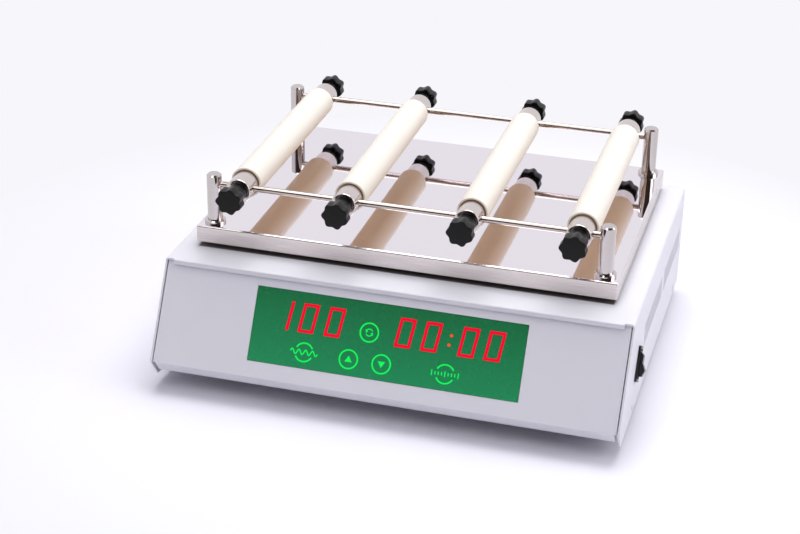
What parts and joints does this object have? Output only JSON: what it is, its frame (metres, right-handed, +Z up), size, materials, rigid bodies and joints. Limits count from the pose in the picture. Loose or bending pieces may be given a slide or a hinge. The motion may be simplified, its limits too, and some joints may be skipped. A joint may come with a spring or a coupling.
{
  "type": "reciprocating shaker",
  "caption": "Bench shaker with a sliding mirror-steel platform, rails with cushioned clamp bars and star knobs, a slanted green display panel and a crank drive.",
  "frame": {"origin": "on the table, under the middle of the instrument's bounding box", "axes": "+X to the right along the shaking direction, +Y to the rear, +Z up"},
  "size_m": [0.3808, 0.3158, 0.1627],
  "materials": {
    "bearing_steel": "bearing steel",
    "belt_rubber": "reinforced belt rubber",
    "black_knob": "moulded black plastic",
    "black_plastic": "moulded black plastic",
    "black_rubber": "moulded rubber",
    "circuit_board": "glass-epoxy board",
    "green_window": "satin green display filter",
    "ground_steel": "ground steel shafting",
    "ivory_silicone": "matte ivory silicone rubber",
    "light_guide": "translucent green light guide",
    "milled_aluminium": "milled aluminium",
    "mirror_steel": "mirror-polished stainless steel, brushed edges",
    "motor_black": "black painted steel can",
    "panel_coat": "satin light grey powder coat",
    "polished_steel": "polished stainless steel",
    "powder_coat": "satin light grey powder coat",
    "red_display": "red display module",
    "zinc_steel": "zinc-plated sheet and fittings"
  },
  "bodies": {
    "case": {"top_cover": "powder_coat", "case_screws": "zinc_steel", "bottom_tray": "powder_coat", "rubber_feet": "black_rubber", "foot_screws": "zinc_steel", "front_panel": "panel_coat", "display_window": "green_window", "display_board": "circuit_board", "board_standoffs": "zinc_steel", "digit_displays": "red_display", "touch_rings": "light_guide", "switch_frame": "black_plastic", "rear_panel": "powder_coat", "power_inlet": "black_plastic", "fuse_drawer": "black_plastic", "drive_plate": "zinc_steel", "drive_standoffs": "zinc_steel", "bearing_housing": "milled_aluminium", "crank_bearings": "bearing_steel", "drive_belt": "belt_rubber", "guide_rods": "ground_steel", "rod_supports": "milled_aluminium", "motor": "motor_black", "power_supply": "zinc_steel", "control_board": "circuit_board"},
    "switch_rocker": {"switch_rocker": "black_plastic"},
    "crank": {"crank_shaft": "ground_steel", "crank_pulley": "milled_aluminium"},
    "motor_rotor": {"motor_shaft": "ground_steel", "motor_pulley": "milled_aluminium"},
    "link": {"connecting_rod": "milled_aluminium", "link_bearings": "bearing_steel", "crank_pin": "ground_steel"},
    "platform": {"wrist_pin": "ground_steel", "carriage": "milled_aluminium", "bushing_blocks": "milled_aluminium", "linear_bushings": "bearing_steel", "platform_pillars": "polished_steel", "platform_screws": "zinc_steel", "platform": "mirror_steel", "corner_posts": "polished_steel", "post_collars": "polished_steel", "guide_rails": "polished_steel"},
    "bar_1": {"clamp_bar_1": "polished_steel", "sleeve_1": "ivory_silicone"},
    "front_knob_1": {"front_knob_1": "black_knob"},
    "rear_knob_1": {"rear_knob_1": "black_knob"},
    "bar_2": {"clamp_bar_2": "polished_steel", "sleeve_2": "ivory_silicone"},
    "front_knob_2": {"front_knob_2": "black_knob"},
    "rear_knob_2": {"rear_knob_2": "black_knob"},
    "bar_3": {"clamp_bar_3": "polished_steel", "sleeve_3": "ivory_silicone"},
    "front_knob_3": {"front_knob_3": "black_knob"},
    "rear_knob_3": {"rear_knob_3": "black_knob"},
    "bar_4": {"clamp_bar_4": "polished_steel", "sleeve_4": "ivory_silicone"},
    "front_knob_4": {"front_knob_4": "black_knob"},
    "rear_knob_4": {"rear_knob_4": "black_knob"}
  },
  "joints": [
    {"name": "platform_slide", "type": "slide", "parent": "case", "child": "platform", "axis": [1, 0, 0], "range_m": [-0.00816, 0.01184]},
    {"name": "link_swing", "type": "hinge", "parent": "platform", "child": "link", "pos_m": [0.03476, 0.0241, 0.067], "axis": [0, 0, 1], "range_deg": [-14.31, 0.05]},
    {"name": "crank_spin", "type": "hinge", "parent": "case", "child": "crank", "pos_m": [-0.0434, 0.0241, 0.032], "axis": [0, 0, 1], "continuous": true},
    {"name": "motor_spin", "type": "hinge", "parent": "case", "child": "motor_rotor", "pos_m": [-0.1354, 0.0241, 0.015], "axis": [0, 0, 1], "continuous": true},
    {"name": "switch_rock", "type": "hinge", "parent": "case", "child": "switch_rocker", "pos_m": [0.1826, -0.0859, 0.0495], "axis": [0, 0.8682, -0.4961], "range_deg": [0, 23]},
    {"name": "bar_1_slide", "type": "slide", "parent": "platform", "child": "bar_1", "axis": [1, 0, 0], "range_m": [-0.00695, 0.0305]},
    {"name": "front_knob_1_turn", "type": "hinge", "parent": "bar_1", "child": "front_knob_1", "pos_m": [-0.13974, -0.0879, 0.1502], "axis": [0, -1, 0], "range_deg": [0, 360]},
    {"name": "rear_knob_1_turn", "type": "hinge", "parent": "bar_1", "child": "rear_knob_1", "pos_m": [-0.13974, 0.1361, 0.1502], "axis": [0, 1, 0], "range_deg": [0, 360]},
    {"name": "bar_2_slide", "type": "slide", "parent": "platform", "child": "bar_2", "axis": [1, 0, 0], "range_m": [-0.0305, 0.0365]},
    {"name": "front_knob_2_turn", "type": "hinge", "parent": "bar_2", "child": "front_knob_2", "pos_m": [-0.05324, -0.0879, 0.1502], "axis": [0, -1, 0], "range_deg": [0, 360]},
    {"name": "rear_knob_2_turn", "type": "hinge", "parent": "bar_2", "child": "rear_knob_2", "pos_m": [-0.05324, 0.1361, 0.1502], "axis": [0, 1, 0], "range_deg": [0, 360]},
    {"name": "bar_3_slide", "type": "slide", "parent": "platform", "child": "bar_3", "axis": [1, 0, 0], "range_m": [-0.0365, 0.0305]},
    {"name": "front_knob_3_turn", "type": "hinge", "parent": "bar_3", "child": "front_knob_3", "pos_m": [0.04526, -0.0879, 0.1502], "axis": [0, -1, 0], "range_deg": [0, 360]},
    {"name": "rear_knob_3_turn", "type": "hinge", "parent": "bar_3", "child": "rear_knob_3", "pos_m": [0.04526, 0.1361, 0.1502], "axis": [0, 1, 0], "range_deg": [0, 360]},
    {"name": "bar_4_slide", "type": "slide", "parent": "platform", "child": "bar_4", "axis": [1, 0, 0], "range_m": [-0.0305, 0.00445]},
    {"name": "front_knob_4_turn", "type": "hinge", "parent": "bar_4", "child": "front_knob_4", "pos_m": [0.13176, -0.0879, 0.1502], "axis": [0, -1, 0], "range_deg": [0, 360]},
    {"name": "rear_knob_4_turn", "type": "hinge", "parent": "bar_4", "child": "rear_knob_4", "pos_m": [0.13176, 0.1361, 0.1502], "axis": [0, 1, 0], "range_deg": [0, 360]}
  ],
  "couplings": [
    {"joint": "motor_spin", "follows": "crank_spin", "ratio": 3}
  ]
}
